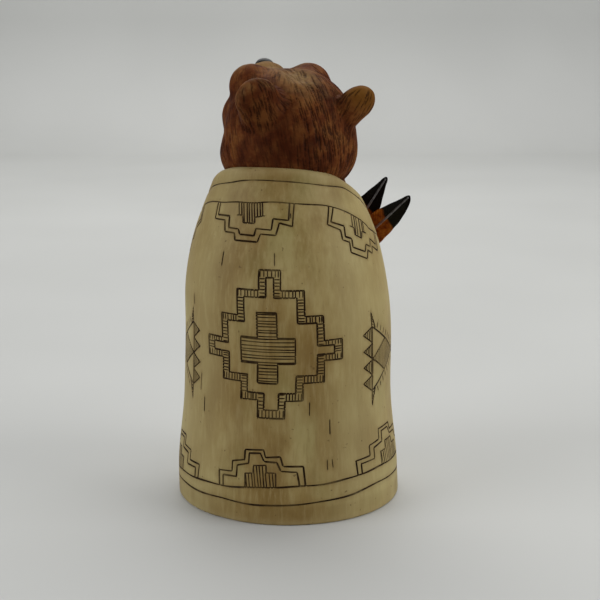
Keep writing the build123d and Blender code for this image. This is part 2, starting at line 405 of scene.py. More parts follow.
def spaced(points, step):
    """The same polyline with a point about every step."""
    points = np.asarray(points, float)
    lengths = np.hypot(*np.diff(points, axis=0).T)
    total = np.concatenate([[0], np.cumsum(lengths)])
    count = max(2, int(round(total[-1] / step)) + 1)
    wanted = np.linspace(0, total[-1], count)
    return np.stack([np.interp(wanted, total, points[:, k]) for k in (0, 1)], 1)


def noise_at(points, size, seed):
    """Smooth noise from -1 to 1 at each point, with features about size across."""
    return np.array([noise.noise(Vector((p[0] / size, p[1] / size, p[2] / size + seed))) for p in points])


# ---------------------------------------------------------------- the blanket's form

SHEET_RADIUS = 26.0  # millimetres of sheet per radian round the body
WALL = 2.4
FLAP_LIFT, FLAP_WALL = 1.3, 1.25  # the flap stands out over the other front edge, and is thinner
LIFT_TURN, WALL_TURN = (-130, -172), (-125, -160)  # the degrees over which it does so


def read_body():
    """Half width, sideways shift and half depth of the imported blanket, as functions of height."""
    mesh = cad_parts["blanket"].data
    tree = BVHTree.FromPolygons([v.co / MM for v in mesh.vertices], [p.vertices for p in mesh.polygons])
    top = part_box("blanket")[1].z / MM
    heights = np.linspace(0.4, top - 0.4, 20)
    rows = []
    for z in heights:
        left = tree.ray_cast(Vector((90, 0.3, z)), Vector((-1, 0, 0)))[0].x
        right = tree.ray_cast(Vector((-90, 0.3, z)), Vector((1, 0, 0)))[0].x
        back = tree.ray_cast(Vector(((left + right) / 2, 90, z)), Vector((0, -1, 0)))[0].y
        rows.append(((left - right) / 2, (left + right) / 2, back))
    return [smooth_curve(heights, [row[k] for row in rows]) for k in range(3)]


half_width, shift, half_depth = read_body()


def round_body(angle, z, out):
    """Points at these angles from the middle of the back and these heights, out from the body's surface."""
    a, b = half_width(z), half_depth(z)
    x, y = -a * np.sin(angle), b * np.cos(angle)
    nx, ny = x / a**2, y / b**2
    size = np.hypot(nx, ny)
    return np.stack([shift(z) + x + nx / size * out, y + ny / size * out, z + 0 * x], 1)


# The blanket is drawn flat, as on a sailor's map: u runs round the body and v climbs it, both stretched alike
# where the body is narrow, so that a shape keeps its proportions.
HEIGHTS = np.arange(-2.0, 92.0, 0.25)
RADII = (half_width(HEIGHTS) + half_depth(HEIGHTS)) / 2
CLIMB = np.concatenate([[0], np.cumsum(np.hypot(0.25, np.diff(RADII)) * SHEET_RADIUS / RADII[1:])])


def scale_at(z):
    """Millimetres on the body per unit of sheet."""
    return np.interp(z, HEIGHTS, RADII) / SHEET_RADIUS


def to_sheet(degrees, z):
    return np.array([math.radians(degrees) * SHEET_RADIUS, np.interp(z, HEIGHTS, CLIMB)])


def from_sheet(points):
    """Angles and heights of places on the sheet."""
    return points[:, 0] / SHEET_RADIUS, np.interp(points[:, 1], CLIMB, HEIGHTS)


# The sheet's upper and front edge, from the under layer's throat round the back and down the flap: (degrees, height).
RIM = [(168, 45.5), (153, 50.5), (139, 58), (126, 65.5), (112, 71.5), (97, 76), (83, 78.8), (69, 80.9), (50, 83.1),
       (25, 84.4), (0, 84.8), (-28, 84.6), (-52, 83.8), (-72, 82.2), (-90, 79.8), (-107, 76), (-124, 70.5),
       (-140, 63), (-155, 55), (-167, 48.5), (-177, 43), (-184, 36), (-189, 28), (-195, 17), (-200, 7.1)]
UNDER_LAP = [(176, 8.45), (182, 28), (184, 42)]  # the hidden edge under the flap
ARCH = (17.5, 8.5)  # half width and height of the opening over the feet
RIM_ROUND, EDGE_ROUND = 1.5, 0.6
OUTLINE_STEP = 0.75


def smooth_line(points, share):
    """A smooth line through points, with share places for each of them."""
    order, fine = np.arange(len(points)), np.linspace(0, len(points) - 1, share * len(points))
    return np.stack([smooth_curve(order, points[:, k])(fine) for k in (0, 1)], 1)


def curved(points, step):
    """A smooth line on the sheet through points given in degrees and height."""
    return spaced(smooth_line(np.array([to_sheet(*p) for p in points]), 40), step)


def arch_height(degrees, lift=0.0):
    """Height of the hem, up over the feet at the front, or of a line a little above it."""
    x = half_width(0.0) * math.sin(math.radians(degrees))
    reach, rise = ARCH[0] + 0.9 * lift, ARCH[1] + lift
    inside = math.cos(math.radians(degrees)) < 0 and abs(x) < reach
    return max(lift, rise * math.sqrt(1 - (x / reach) ** 2)) if inside else lift


def make_outline():
    """The sheet's outline, with the sheet on its left, and the rounding of its edge at each point."""
    rim = curved(RIM, OUTLINE_STEP)
    turns = np.arange(RIM[-1][0], UNDER_LAP[0][0] + 0.1, 0.5)
    hem = spaced([to_sheet(degrees, arch_height(degrees)) for degrees in turns], OUTLINE_STEP)
    lap = curved(UNDER_LAP, OUTLINE_STEP)
    close = spaced([lap[-1], rim[0]], OUTLINE_STEP)
    edge = smooth_step(70, 130, np.abs(np.degrees(rim[:, 0] / SHEET_RADIUS)))
    rest = len(hem) + len(lap) + len(close) - 4
    rounding = np.concatenate([RIM_ROUND + (EDGE_ROUND - RIM_ROUND) * edge, np.full(rest, EDGE_ROUND)])
    return np.concatenate([rim, hem[1:], lap[1:], close[1:-1]]), rounding


def edge_of(points, closed=False):
    """Unit normals of a line on the sheet, to its left."""
    ahead = np.roll(points, -1, 0) - np.roll(points, 1, 0)
    if not closed:
        ahead[0], ahead[-1] = points[1] - points[0], points[-1] - points[-2]
    ahead /= np.hypot(*ahead.T)[:, None]
    return np.stack([-ahead[:, 1], ahead[:, 0]], 1)


def nearest(samples, points):
    """For each point, the number of the nearest sample and how far it is."""
    tree = KDTree(len(samples))
    for i, place in enumerate(samples):
        tree.insert(place, i)
    tree.balance()
    found = [tree.find(p) for p in points]
    return np.array([f[1] for f in found]), np.array([f[2] for f in found])


def cut_depth(gap, half, depth):
    """Depth of a rounded cut at a distance from its middle line."""
    return depth * np.clip(1 - (gap / half) ** 2, 0, 1)


def nearest_on_sheet(samples, points):
    """The same on the sheet, with the distance in millimetres on the body."""
    index, gap = nearest(*(np.pad(flat, ((0, 0), (0, 1))) for flat in (samples, points)))
    return index, gap * scale_at(from_sheet(points)[1])


# ---------------------------------------------------------------- the blanket's pattern

LINE_WIDTH, LINE_DEPTH = 0.44, 0.27
HATCH_WIDTH, HATCH_DEPTH = 0.31, 0.18
HATCH_PITCH = 0.76
LONG_SHAKE = 0.12  # how far the hand wanders on the borders and hems
HEM_SPAN = (-193, 170)  # degrees
CUT_SPACING = 0.36
CARVING_SEED = 11
DIAMOND_ANGLE = -1.1
# The borders' lines round the back, as (degrees, height), and their distances in from the rim further on.
UPPER_LINE = [(-79, 77.3), (-69, 78.9), (-42, 80.7), (-24, 81.7), (5, 81.8), (29, 81.0), (57, 79.7), (71, 77.9),
              (85, 75.6)]
LOWER_LINE = [(-78, 73.2), (-67, 75.1), (-35, 76.4), (-9, 76.9), (8, 76.9), (27, 76.4), (39, 75.9), (54, 74.2),
              (68, 71.6), (78, 68.9)]
UPPER_INSET, LOWER_INSET = 3.0, 7.6
BORDER_BLEND, BORDER_END = 9.0, 15.6  # the sheet's length where a border turns to the rim, and its lowest height
# The hem's two lines, as (degrees, height), and how far they keep above the arch over the feet.
UPPER_HEM = [(-180, 8.0), (-66, 7.5), (-38, 8.3), (-16, 8.95), (-5, 9.35), (14, 9.85), (35, 10.4), (54, 10.8),
             (81, 11.1), (130, 10.0), (180, 9.0)]
LOWER_HEM = [(-180, 5.3), (-65, 5.0), (-42, 5.2), (-20, 5.05), (2, 5.15), (24, 5.6), (40, 6.4), (62, 7.1), (80, 7.0),
             (130, 6.0), (180, 5.4)]
UPPER_LIFT, LOWER_LIFT = 7.2, 3.6


class Carving:
    """The knife's strokes on the sheet, each a line of samples with a half width and a depth in millimetres. Points
    are given in a motif's own numbers, and place(x, y) puts them on the sheet."""

    def __init__(self, seed):
        self.random = random.Random(seed)
        self.samples, self.half, self.depth, self.strokes = [], [], [], []

    def stroke(self, place, points, width=LINE_WIDTH, depth=LINE_DEPTH, shake=0.07):
        """One cut along a line, not quite steady, thinner at its ends."""
        points = [place(*p) for p in points]
        scale = float(scale_at(from_sheet(np.array(points[:1]))[1])[0])
        line = spaced(points, CUT_SPACING / scale)
        along = np.concatenate([[0], np.cumsum(np.hypot(*np.diff(line, axis=0).T))]) * scale
        waves = [(self.random.uniform(1.6, 4.5), self.random.uniform(0, 6.3)) for _ in range(3)]
        sway = sum(np.sin(along / length + phase) for length, phase in waves) * shake / 1.7
        line = line + edge_of(line) * (sway / scale)[:, None]
        press = 1 + 0.16 * np.sin(along / waves[0][0] + waves[1][1])
        taper = np.clip(0.35 + np.minimum(along, along[-1] - along) / 0.45, 0, 1)
        half = width / 2 * press * taper
        side = edge_of(line) * (half / scale)[:, None]
        self.strokes.append((line + side, line, line - side))
        dense = np.linspace(0, len(line) - 1, 4 * len(line))
        steps = np.arange(len(line))
        self.samples.append(np.stack([np.interp(dense, steps, line[:, k]) for k in (0, 1)], 1))
        self.half.append(np.interp(dense, steps, half))
        self.depth.append(np.interp(dense, steps, depth * taper))

    def straight(self, place, points, width=LINE_WIDTH, depth=LINE_DEPTH):
        """Straight cuts from corner to corner, each running on a little at its ends."""
        points = [place(*p) for p in points]
        for start, end in zip(points[:-1], points[1:]):
            ahead = (end - start) / np.hypot(*(end - start))
            over = [self.random.uniform(0.0, 0.22) for _ in range(2)]
            self.stroke(on_sheet, [start - ahead * over[0], end + ahead * over[1]], width, depth, shake=0.04)

    def hatch(self, place, start, end, across, width=HATCH_WIDTH, pitch=HATCH_PITCH):
        """Parallel short cuts. start and end are the row's ends, across(at) gives a cut's two ends."""
        count = max(1, int(round(abs(end - start) / pitch)))
        for i in range(count):
            at = start + (end - start) * (i + 0.5 + self.random.uniform(-0.16, 0.16)) / count
            self.stroke(place, across(at), width, HATCH_DEPTH, shake=0.03)


def on_sheet(u, v):
    return np.array((u, v))


def motif_place(centre, base):
    """Turns millimetres sideways and up from a motif's foot into a place on the sheet. base gives the foot line's
    height at an angle; centre is the angle of the motif's middle."""

    def place(x, y):
        z = base(centre) + y
        degrees = centre + math.degrees(x / (scale_at(z) * SHEET_RADIUS))
        return to_sheet(degrees, base(degrees) + y)

    return place


def plumb_place(offset, base):
    """The same for a motif whose uprights keep their distance from the middle of the back, where offset is its own."""

    def place(x, y):
        degrees = math.degrees(offset / SHEET_RADIUS)
        for _ in range(12):
            degrees = math.degrees((offset + x) / (scale_at(base(degrees)) * SHEET_RADIUS))
        z = base(degrees) + y
        return to_sheet(math.degrees((offset + x) / (scale_at(z) * SHEET_RADIUS)), z)

    return place


def stepped(widths, heights):
    """Corners of a closed stepped shape: down its left side from the first height and up its right."""
    half = []
    for k, width in enumerate(widths):
        half += [(width, heights[k]), (width, heights[k + 1])]
    left = [(-x, y) for x, y in half]
    return left + half[::-1] + left[:1]


# Half widths of the steps from the top down, and the heights between them.
DIAMOND_OUTER = ([2.5, 8.0, 12.4, 17.0, 12.4, 7.4, 3.2], [61.8, 57.1, 51.0, 45.1, 40.3, 35.0, 30.7, 26.35])
DIAMOND_INNER = ([0.95, 6.3, 10.8, 15.0, 10.7, 5.8, 1.7], [60.1, 55.4, 49.4, 43.9, 41.8, 36.8, 32.5, 28.4])
CROSS, CROSS_SHIFT = ([2.35, 6.45, 2.35], [51.9, 45.9, 39.7, 34.9]), -0.9


def carve_diamond(carving, centre):
    """The large stepped diamond with its ladder border and the hatched cross inside."""
    place = motif_place(centre, lambda degrees: 0.0)
    widths, heights = DIAMOND_OUTER
    inner_widths, inner_heights = DIAMOND_INNER
    for shape in (DIAMOND_OUTER, DIAMOND_INNER):
        carving.straight(place, stepped(*shape))
    for side in (-1, 1):
        for k, y in enumerate(heights):
            before, after = ([0.0] + widths + [0.0])[k:k + 2]
            carving.hatch(place, before, after, lambda x: ((side * x, y), (side * x, inner_heights[k])))
        for k, x in enumerate(widths):
            rung = lambda y: ((side * x, y), (side * inner_widths[k], y))
            carving.hatch(place, inner_heights[k], inner_heights[k + 1], rung)
    carving.straight(place, [(x + CROSS_SHIFT, y) for x, y in stepped(*CROSS)])
    for k, width in enumerate(CROSS[0]):
        row = lambda y: ((CROSS_SHIFT - width, y), (CROSS_SHIFT + width, y))
        carving.hatch(place, CROSS[1][k], CROSS[1][k + 1], row)


# Half diamonds on a line, cut by eye and so not quite even: the outer outline, the inner one and the hatched block,
# in millimetres sideways and away from the line, how much the hatching leans and how close it is.
HANGING_MIDDLE = ([(-10.3, 0), (-10.9, 3.6), (-7.3, 4.0), (-7.1, 6.6), (-4.3, 6.9), (-4.1, 8.5), (1.7, 8.9),
                   (2.5, 7.0), (6.1, 7.3), (6.8, 4.5), (9.9, 5.1), (10.2, 0)],
                  [(-9.3, 0), (-9.7, 2.8), (-5.9, 3.1), (-6.0, 5.7), (-3.2, 6.0), (-2.8, 7.2), (0.9, 7.5), (1.3, 5.8),
                   (5.0, 6.1), (5.4, 3.6), (9.0, 3.8), (9.2, 0)],
                  [(-3.7, 2.9), (-2.1, 2.9), (-2.0, 4.6), (0.8, 4.7), (1.0, 3.3), (3.4, 3.0)], 0.05, 0.64)
HANGING_SIDE = ([(-10.2, 0), (-10.7, 4.1), (-7.0, 4.6), (-6.5, 6.6), (-4.4, 6.6), (-4.0, 8.8), (1.9, 8.3), (2.4, 6.2),
                 (4.6, 5.9), (4.9, 4.1), (8.6, 4.4), (9.3, 0)],
                [(-9.0, 0), (-9.7, 3.4), (-6.0, 3.4), (-5.7, 5.7), (-3.6, 5.6), (-3.3, 7.4), (1.2, 6.9), (1.7, 5.1),
                 (3.8, 4.8), (4.1, 2.9), (7.6, 3.1), (8.2, 0)],
                [(-4.0, 2.8), (-2.6, 2.8), (-2.4, 4.3), (0.2, 4.3), (0.6, 2.6), (2.3, 2.3)], 0.05, 0.95)
STANDING = ([(-10.8, 0), (-10.9, 3.7), (-7.2, 3.8), (-7.1, 6.3), (-3.9, 6.8), (-3.8, 9.3), (0.7, 9.3), (1.2, 7.4),
             (4.8, 7.4), (5.4, 5.1), (10.2, 4.8), (10.8, 0)],
            [(-9.7, 0), (-9.7, 2.6), (-6.0, 2.6), (-5.9, 5.3), (-2.9, 5.9), (-2.8, 8.4), (0.0, 8.4), (0.9, 6.4),
             (3.9, 6.1), (4.9, 4.0), (8.7, 3.6), (9.4, 0)],
            [(-3.8, 0), (-3.8, 3.5), (-1.8, 3.6), (-1.7, 5.5), (1.3, 5.5), (1.4, 3.7), (3.6, 3.6), (3.7, 0)],
            -0.10, 0.68)

# The hanging ones' offsets from the middle of the back, and the standing ones' angles, with their stretch.
HANGING = [(-5.3, HANGING_MIDDLE, 1), (23.8, HANGING_SIDE, 1), (-34.4, HANGING_SIDE, -1)]
STANDING_PLACES = [(-6.2, 1.0), (74.6, 1.3), (-72.5, -1.25)]


def carve_half_diamond(carving, place, up, shapes, stretch):
    """A stepped half diamond on a line, with an inner outline and a block of hatching. up is 1 or -1; a negative
    stretch turns the shape round."""
    point = lambda x, y: place(stretch * x, up * y)
    outer, inner, block, lean, pitch = shapes
    for outline in (outer, inner):
        carving.straight(point, outline)
    carving.straight(point, block, HATCH_WIDTH * 1.2, HATCH_DEPTH)
    across = [p[0] for p in block]
    reach = lambda x: np.interp(x, across, [p[1] for p in block])
    column = lambda x: ((x, 0.0), (x + lean * reach(x), reach(x)))
    carving.hatch(point, block[0][0] + 0.25, block[-1][0] - 0.25, column, HATCH_WIDTH * 1.15, pitch)


# On each flank, two that point at each other: the upright's angle, its middle height, its half height, the triangle's
# width and the way it points.
SIDE_MOTIFS = [(59.5, 38.4, 8.0, 12.6, 1), (114.0, 38.4, 8.0, 12.6, -1), (-55.5, 38.9, 7.9, 11.4, -1),
               (-106.0, 38.9, 7.9, 11.4, 1)]
TOOTH_REACH, SHADE_PITCH = 3.3, 0.62


def carve_side(carving, foot, middle, half, reach, turn):
    """A toothed motif on a flank: an upright with four teeth on one side and a triangle with a shaded lozenge."""
    place = motif_place(foot, lambda degrees: 0.0)
    point = lambda x, y: place(turn * x, middle + y)
    straight = lambda *points: carving.straight(point, points)
    fine = lambda *ends, **how: carving.stroke(point, ends, HATCH_WIDTH, HATCH_DEPTH, **how)
    straight((0, half + 3.4), (0, -half - 3.6))
    straight((0, half), (reach, 0), (0, -half))
    for side in (-1, 1):
        straight((0, 0), (reach / 2, side * half / 2))
        straight((0, side * (half + 3.4)), (1.3, side * (half - 0.6)))
        for k in range(4):
            y = half + 0.4 + 0.7 * k
            fine((0.1, side * y), (0.9 - 0.18 * k, side * (y + 0.2)))
        for k in range(7):
            x = reach * (0.16 + 0.115 * k)
            y = half * (1 - x / reach)
            fine((x + 0.25, side * (y + 0.5)), (x + 0.75, side * (y + 1.9)))
    tooth = half / 2
    for k in range(4):
        top = half - k * tooth
        tip = top - 0.42 * tooth
        straight((0, top), (-TOOTH_REACH, tip), (0, top - tooth))
        for j in range(4):
            x = -0.55 - SHADE_PITCH * j
            room = 1 + x / TOOTH_REACH
            fine((x, tip + (top - tip) * room), (x, tip - (tooth - top + tip) * room), shake=0.03)
    count = int(reach / SHADE_PITCH)
    for k in range(1, count):
        x = reach * k / count
        y = half / reach * min(x, reach - x)
        if y > 0.25:
            carving.stroke(point, [(x, y), (x, -y)], width=0.24, depth=0.10, shake=0.03)


# Stray short cuts: (degrees, height, length).
TICKS = [(-31.5, 63.6, 3.4), (1.5, 64.2, 3.0), (-54, 52.5, 2.6), (-46, 32.6, 4.4), (-43, 27.2, 3.8), (19, 28.6, 3.4),
         (30, 23.8, 3.8), (12, 74.0, 1.2), (28, 14.6, 2.6), (30.5, 14.8, 2.2), (-112, 60, 3.5), (-118, 30, 4.0),
         (104, 56, 3.6), (112, 26, 4.2), (-150, 24, 3.2), (138, 34, 3.0)]


def border_path(rim, line, inset):
    """A border line: given points round the back, and further on the rim's own curve, inset from it."""
    inside = rim + edge_of(rim) * (inset / scale_at(from_sheet(rim)[1]))[:, None]
    first, last = to_sheet(*line[0])[0] - BORDER_BLEND, to_sheet(*line[-1])[0] + BORDER_BLEND
    right, left = inside[inside[:, 0] > last], inside[inside[:, 0] < first]
    path = smooth_line(np.concatenate([right[::6], curved(line, 0.7)[::-3], left[::6]]), 8)
    return path[path[:, 1] > to_sheet(0, BORDER_END)[1]]


def hem_line(points, lift):
    """A hem line's height at an angle: through the points, and clear of the arch."""
    level = smooth_curve(*zip(*points))
    return lambda degrees: max(float(level(degrees)), arch_height(degrees, lift))


def carve_blanket(rim):
    carving = Carving(CARVING_SEED)
    for line, inset in ((UPPER_LINE, UPPER_INSET), (LOWER_LINE, LOWER_INSET)):
        path = border_path(rim, line, inset)
        carving.stroke(on_sheet, path, shake=LONG_SHAKE)
    angles, heights = from_sheet(path[np.argsort(path[:, 0])])
    lower = lambda degrees: np.interp(degrees, np.degrees(angles), heights)
    upper_hem, lower_hem = hem_line(UPPER_HEM, UPPER_LIFT), hem_line(LOWER_HEM, LOWER_LIFT)
    for hem in (upper_hem, lower_hem):
        carving.stroke(to_sheet, [(d, hem(d)) for d in np.arange(*HEM_SPAN, 1.0)], shake=LONG_SHAKE)
    carve_diamond(carving, DIAMOND_ANGLE)
    for offset, shapes, stretch in HANGING:
        carve_half_diamond(carving, plumb_place(offset, lower), -1, shapes, stretch)
    for centre, stretch in STANDING_PLACES:
        carve_half_diamond(carving, motif_place(centre, upper_hem), 1, STANDING, stretch)
    for motif in SIDE_MOTIFS:
        carve_side(carving, *motif)
    for degrees, z, length in TICKS:
        lean = carving.random.uniform(-0.6, 0.6)
        ends = [(degrees, z + length / 2), (degrees + lean, z - length / 2)]
        carving.stroke(to_sheet, ends, width=0.3, depth=0.16)
    return carving


# ---------------------------------------------------------------- the blanket's mesh

GRID_SPACING, GRID_CLEARANCE = 0.95, 0.34
INNER_SPACING, INNER_CLEARANCE = 2.6, 1.5
ROW_SHARE, GRID_SEED, GRID_SHAKE = 0.866, 5, 0.12  # of the spacing: between rows, and how far places stray
EDGE_RINGS = (0.09, 0.32, 0.66, 1.0)  # shares of the edge's rounding where it gets a ring of points
EDGE_THINNING = 0.45
HALO_REACH = 0.55  # how far the ink stains the blanket beside a cut


def within(points, outline):
    """Which points lie inside a closed line."""
    inside = np.zeros(len(points), bool)
    for (x0, y0), (x1, y1) in zip(outline, np.roll(outline, -1, 0)):
        spans = (y0 > points[:, 1]) != (y1 > points[:, 1])
        if spans.any():
            reach = x0 + (points[:, 1] - y0) / (y1 - y0) * (x1 - x0)
            inside ^= spans & (points[:, 0] < reach)
    return inside


def triangulate(points, edges, outline):
    """Triangles inside the outline that keep the given edges; vertices may be added where edges cross."""
    made = delaunay_2d_cdt([Vector(p) for p in points], edges, [], 0, 1e-5, True)
    flat, faces = np.array([(v.x, v.y) for v in made[0]]), np.array(made[2], int)
    faces = faces[within(flat[faces].mean(1), outline)]
    used = np.unique(faces)
    number = np.full(len(flat), -1)
    number[used] = np.arange(len(used))
    return flat[used], number[faces], [made[3][i] for i in used]


def sheet_grid(points, outline, spacing, keep_off):
    """Places of a slightly shaken triangular grid inside the outline, clear of the given points."""
    low, high = outline.min(0), outline.max(0)
    rows = []
    for i, v in enumerate(np.arange(low[1] + spacing / 2, high[1], spacing * ROW_SHARE)):
        us = np.arange(low[0] + spacing / 2 * (i % 2), high[0], spacing)
        rows.append(np.stack([us, np.full_like(us, v)], 1))
    grid = np.concatenate(rows)
    grid += np.random.RandomState(GRID_SEED).uniform(-GRID_SHAKE, GRID_SHAKE, grid.shape) * spacing
    grid = grid[within(grid, outline)]
    return grid[nearest_on_sheet(points, grid)[1] > keep_off]


def boundary_loop(faces):
    """Vertex numbers round the mesh's edge, in order."""
    edges = np.concatenate([faces[:, [0, 1]], faces[:, [1, 2]], faces[:, [2, 0]]])
    keys = edges.min(1).astype(np.int64) * (faces.max() + 1) + edges.max(1)
    _, first, counts = np.unique(keys, return_index=True, return_counts=True)
    follow = {int(a): int(b) for a, b in edges[first[counts == 1]]}
    start = next(iter(follow))
    loop = [start]
    while follow[loop[-1]] != start:
        loop.append(follow[loop[-1]])
    return np.array(loop)


def sheet_swell(places):
    """Slow hollows and swellings of the carved surface, and a faint upright grain."""
    slow = noise_at(places, 16.0, 3.1) * 0.22 + noise_at(places * (1, 1, 0.2), 3.0, 9.7) * 0.05
    return slow + noise_at(places * (1, 1, 0.5), 7.0, 5.5) * 0.07


def folds(angle, z):
    """Soft folds that fall from the arms at the front, where the two edges of the blanket meet."""
    front = np.pi - np.abs(np.mod(angle + np.pi, 2 * np.pi) - np.pi)
    fade = smooth_step(1.25, 0.7, front) * smooth_step(66, 50, z) * smooth_step(2, 12, z)
    return 0.45 * fade * np.cos(front * 9.5 + 0.5) - 0.15 * fade


def sheet_lift(angle):
    return FLAP_LIFT * smooth_step(*LIFT_TURN, np.degrees(angle))


def sheet_wall(angle):
    return WALL + (FLAP_WALL - WALL) * smooth_step(*WALL_TURN, np.degrees(angle))


def sheet_form(angle, z):
    """How far the blanket stands out from the body at these places, before it is cut and its edges are rounded."""
    return sheet_lift(angle) + sheet_swell(round_body(angle, z, 0.0)) + folds(angle, z)


def ring_edges(count):
    return [(i, (i + 1) % count) for i in range(count)]


def sheet_points(outline, rounding, strokes):
    """Points on the sheet, and the edges to keep between them: the outline, rings inside it that round the edge, the
    strokes' sides and middles, and a grid over the rest."""
    scales = scale_at(from_sheet(outline)[1])
    points, count, edges = [outline], len(outline), ring_edges(len(outline))
    for share in EDGE_RINGS:
        ring = outline + edge_of(outline, True) * (rounding * share / scales)[:, None]
        points.append(ring[nearest_on_sheet(outline, ring)[1] > 0.92 * share * rounding.min()])
        count += len(points[-1])
    kept_clear = [outline, points[-1]]
    for sides in strokes:
        points += sides
        kept_clear += [sides[0], sides[2]]
        size = len(sides[0])
        for _ in sides:
            edges += [(count + i, count + i + 1) for i in range(size - 1)]
            count += size
        for end in (count - 3 * size, count - 2 * size - 1):
            edges += [(end, end + size), (end + size, end + 2 * size)]
    points.append(sheet_grid(np.concatenate(kept_clear), outline, GRID_SPACING, GRID_CLEARANCE))
    return np.concatenate(points), edges


def inner_sheet(rim, outline):
    """Vertices and triangles of the blanket's inner face, and its vertex number at each place of the rim."""
    points = np.concatenate([rim, sheet_grid(rim, outline, INNER_SPACING, INNER_CLEARANCE)])
    flat, faces, origin = triangulate(points, ring_edges(len(rim)), rim)
    at_edge = np.array([any(i < len(rim) for i in ids) for ids in origin])
    number = {ids[0]: k for k, ids in enumerate(origin) if at_edge[k]}
    angle, z = from_sheet(flat)
    out = sheet_form(angle, z) - (sheet_wall(angle) - EDGE_THINNING * at_edge)
    return round_body(angle, z, out), faces, np.array([number[i] for i in range(len(rim))])


def blanket_tones(angle, z, past_cut, past_edge, inner):
    """Paleness (partly painted side light), stains and painted shade, and wear of the outer vertices, from the
    distances past the nearest cut and the edge, and then of the inner ones."""
    base = round_body(angle, z, 0.0)
    halo = np.clip(1 - past_cut / HALO_REACH, 0, 1) * 0.6
    smudge_and_shade = smooth_step(0.15, 0.6, noise_at(base * (1, 1, 0.5), 6.0, 21.0)) * 0.5
    # Painted shade over the middle of the back, the side that faces the camera and gets less light than the flanks.
    middle = smooth_step(0.8, 0.3, np.abs(angle)) * (0.28 + 0.2 * noise_at(base, 8.0, 44.0))
    # Adds that painted shade, and darkens the blanket above about 75 to 78 mm.
    smudge_and_shade += middle + smooth_step(75, 78, z) * 0.25
    # Darker along the bottom 4 to 6 mm of the hem, and less dark from there up to 9 to 12 mm.
    smudge_and_shade += 0.6 * smooth_step(6, 4, z) - 0.4 * smooth_step(12, 9, z)
    smudge_and_shade += 0.4 * np.exp(-((angle - 0.75) / 0.3) ** 2 - ((z - 22) / 9) ** 2)
    # Paler flanks, stronger away from the middle of the back: partly paler paint and partly painted light from the
    # side lamps.
    sides = smooth_step(0.3, 0.8, np.abs(angle)) * (0.8 + 0.5 * noise_at(base, 14.0, 33.0))
    worn = smooth_step(2.2, 0.2, past_edge) * (0.65 + 0.35 * noise_at(base, 4.0, 2.0))
    stain = np.maximum(halo, smudge_and_shade)
    return [np.append(outer, np.full(inner, inside)) for outer, inside in ((sides, 0.3), (stain, 0.4), (worn, 0.0))]


def make_blanket():
    outline, rounding = make_outline()
    carving = carve_blanket(outline[:len(curved(RIM, OUTLINE_STEP))])
    points, edges = sheet_points(outline, rounding, carving.strokes)
    flat, faces, _ = triangulate(points, edges, outline)
    angle, z = from_sheet(flat)
    samples, half, depth = (np.concatenate(rows) for rows in (carving.samples, carving.half, carving.depth))
    index, gap = nearest_on_sheet(samples, flat)
    groove = cut_depth(gap, half[index], depth[index])
    edge_index, edge_gap = nearest_on_sheet(outline, flat)
    r = rounding[edge_index]
    rounded = r - np.sqrt(np.clip(r**2 - np.clip(r - edge_gap, 0, None) ** 2, 0, None))
    outer = round_body(angle, z, sheet_form(angle, z) - groove - rounded)

    loop = boundary_loop(faces)
    inner, inner_faces, number = inner_sheet(flat[loop], outline)
    across, follow, across_next = number + len(outer), np.roll(loop, -1), np.roll(number, -1) + len(outer)
    strip = np.stack([follow, loop, across, follow, across, across_next], 1).reshape(-1, 3)
    all_faces = np.concatenate([faces, strip, inner_faces[:, ::-1] + len(outer)])

    face_index, face_gap = nearest_on_sheet(samples, flat[faces].mean(1))
    ink = np.append(face_gap < half[face_index] * 0.98, np.zeros(len(strip) + len(inner_faces)))
    pale, stain, worn = blanket_tones(angle, z, gap - half[index], edge_gap, len(inner))
    add_piece("carved_blanket", "blanket_resin", ["blanket"], blanket_material(), np.concatenate([outer, inner]),
              all_faces, sharp=32, ink=np.repeat(ink, 3), pale=pale, stain=stain, worn=worn)


# ---------------------------------------------------------------- modelled forms

STROKE_STEP = 0.2


def unit(vector):
    vector = np.array(vector, float)
    return vector / np.linalg.norm(vector)


def ellipsoid(p, centre, radii, axes=np.eye(3)):
    """How far points lie outside an ellipsoid whose axes are the rows of axes."""
    q = (p - centre) @ axes.T / radii
    near = np.linalg.norm(q, axis=1)
    return near * (near - 1) / np.maximum(np.linalg.norm(q / radii, axis=1), 1e-6)


def taper(p, start, end, first, last):
    """How far points lie outside a round bar whose radius runs from first to last."""
    along = end - start
    t = np.clip((p - start) @ along / (along @ along), 0, 1)
    return np.linalg.norm(p - start - t[:, None] * along, axis=1) - (first + (last - first) * t)


def block(p, centre, sizes, rounding, axes):
    """How far points lie outside a block with rounded edges."""
    q = np.abs((p - centre) @ axes.T) - (np.array(sizes) / 2 - rounding)
    return np.linalg.norm(np.clip(q, 0, None), axis=1) + np.minimum(q.max(1), 0) - rounding


def melt(a, b, soft):
    """Two forms joined with a fillet."""
    h = np.clip(0.5 + 0.5 * (b - a) / soft, 0, 1)
    return b + (a - b) * h - soft * h * (1 - h)


def scoop(a, b, soft):
    """The first form with the second taken out of it."""
    return -melt(-a, b, soft)


def slope(field, p):
    """How a form's distance grows in each direction at points."""
    step = 0.04
    return np.stack([field(p + axis) - field(p - axis) for axis in np.eye(3) * step], 1) / (2 * step)


def outward(field, p):
    """Unit normals of a form's surface at points."""
    normal = slope(field, p)
    return normal / np.maximum(np.linalg.norm(normal, axis=1), 1e-6)[:, None]


def settle(field, p, rounds):
    """Points moved on to a form's surface."""
    for _ in range(rounds):
        g = slope(field, p)
        p = p - g * (field(p) / np.maximum((g * g).sum(1), 0.05))[:, None]
    return p


